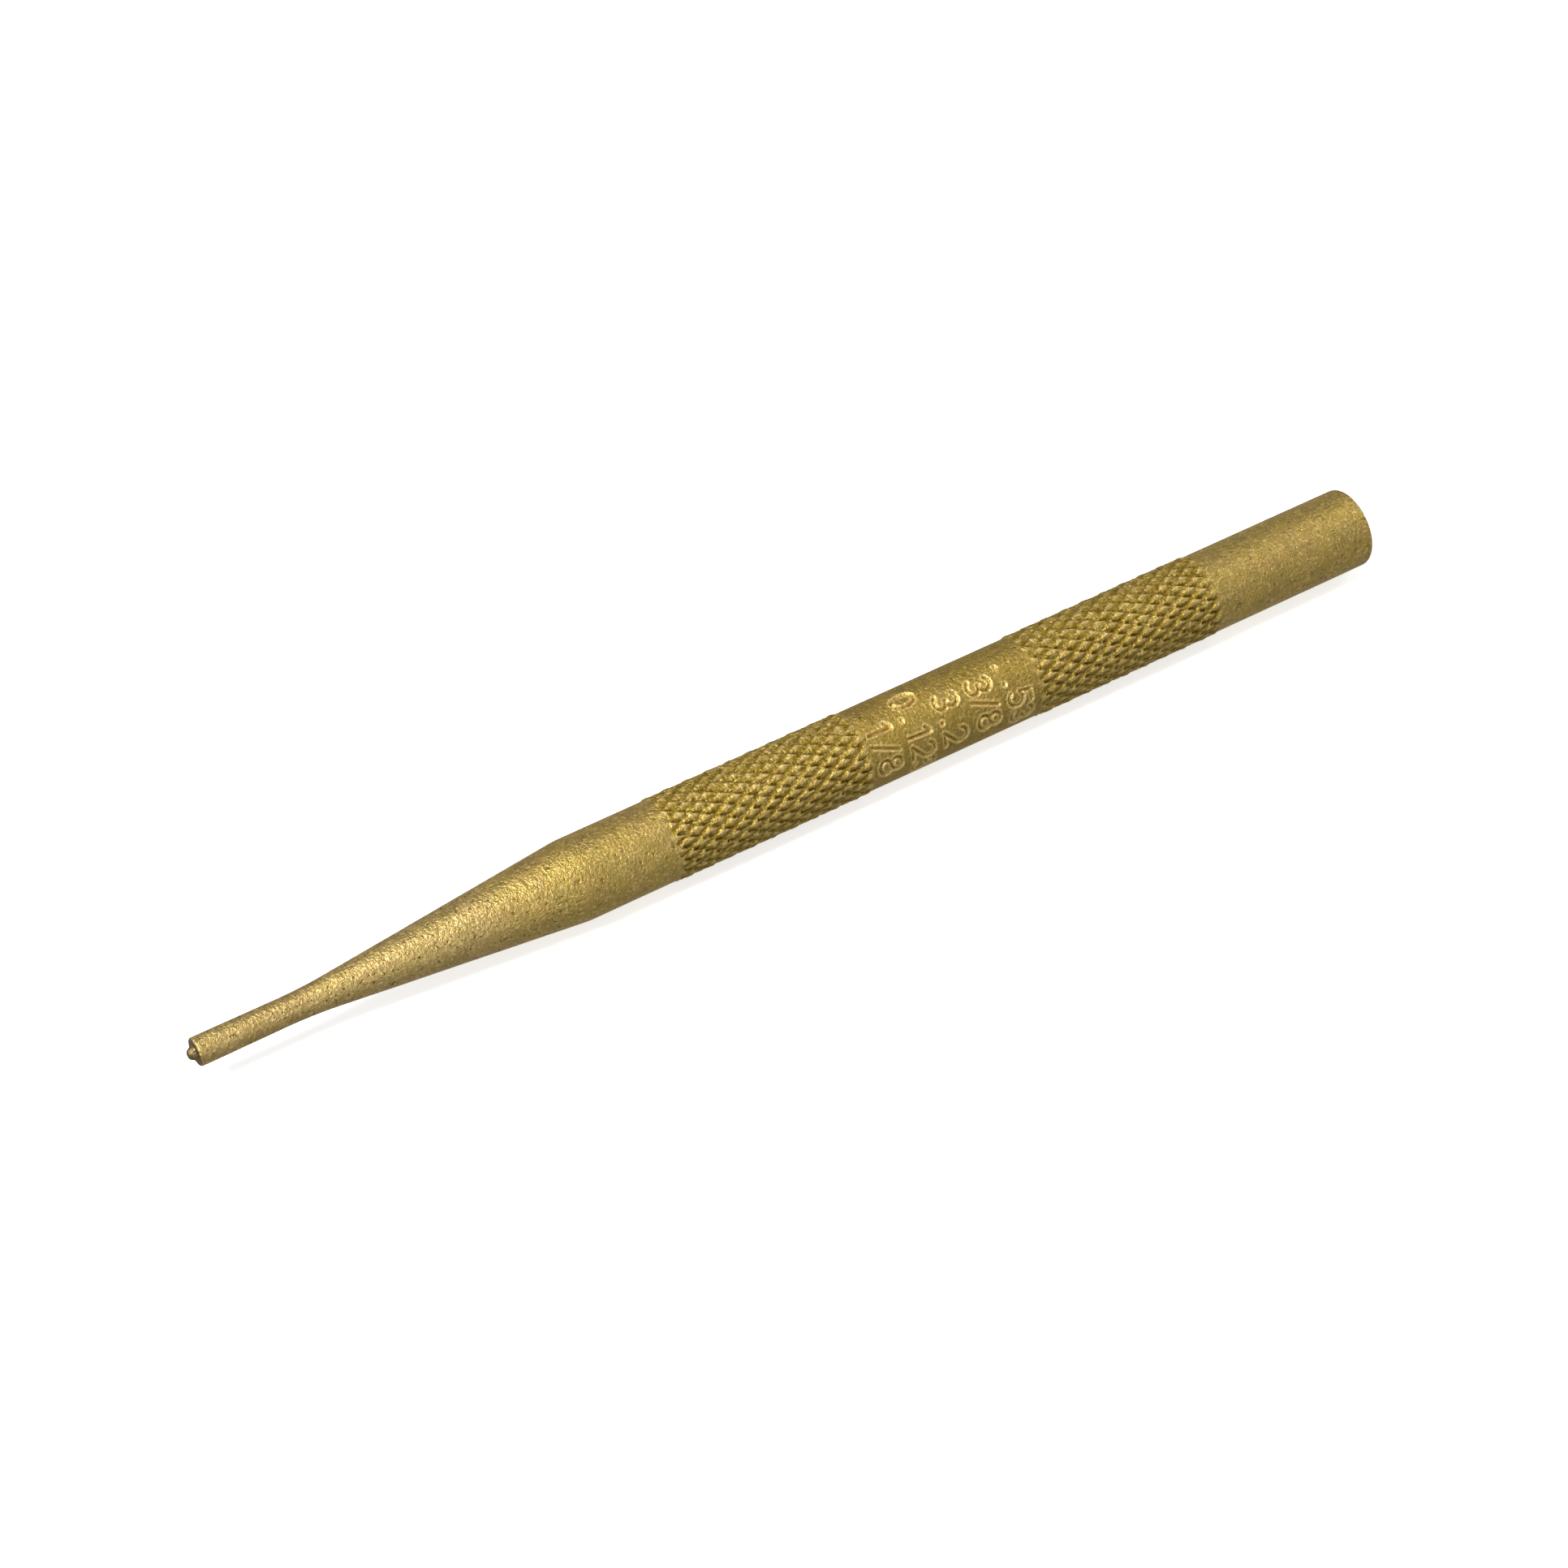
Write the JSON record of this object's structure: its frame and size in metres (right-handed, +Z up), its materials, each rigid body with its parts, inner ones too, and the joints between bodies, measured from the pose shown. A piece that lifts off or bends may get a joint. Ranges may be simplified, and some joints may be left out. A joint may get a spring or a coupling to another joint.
{
  "type": "pilot punch",
  "caption": "Slim round brass-coloured hand punch with a pilot nub on its tapered tip, diamond-knurled grips and a flat striking head, for driving out hollow roll pins.",
  "frame": {"origin": "on the surface that the punch lies on, under the middle of its length and under its axis", "axes": "+X along the axis from the tip to the striking head, +Y across, +Z up"},
  "size_m": [0.1524, 0.0098, 0.0098],
  "materials": {
    "brass": "fine blasted satin"
  },
  "bodies": {
    "root": {"punch_bar": "brass"}
  },
  "joints": []
}
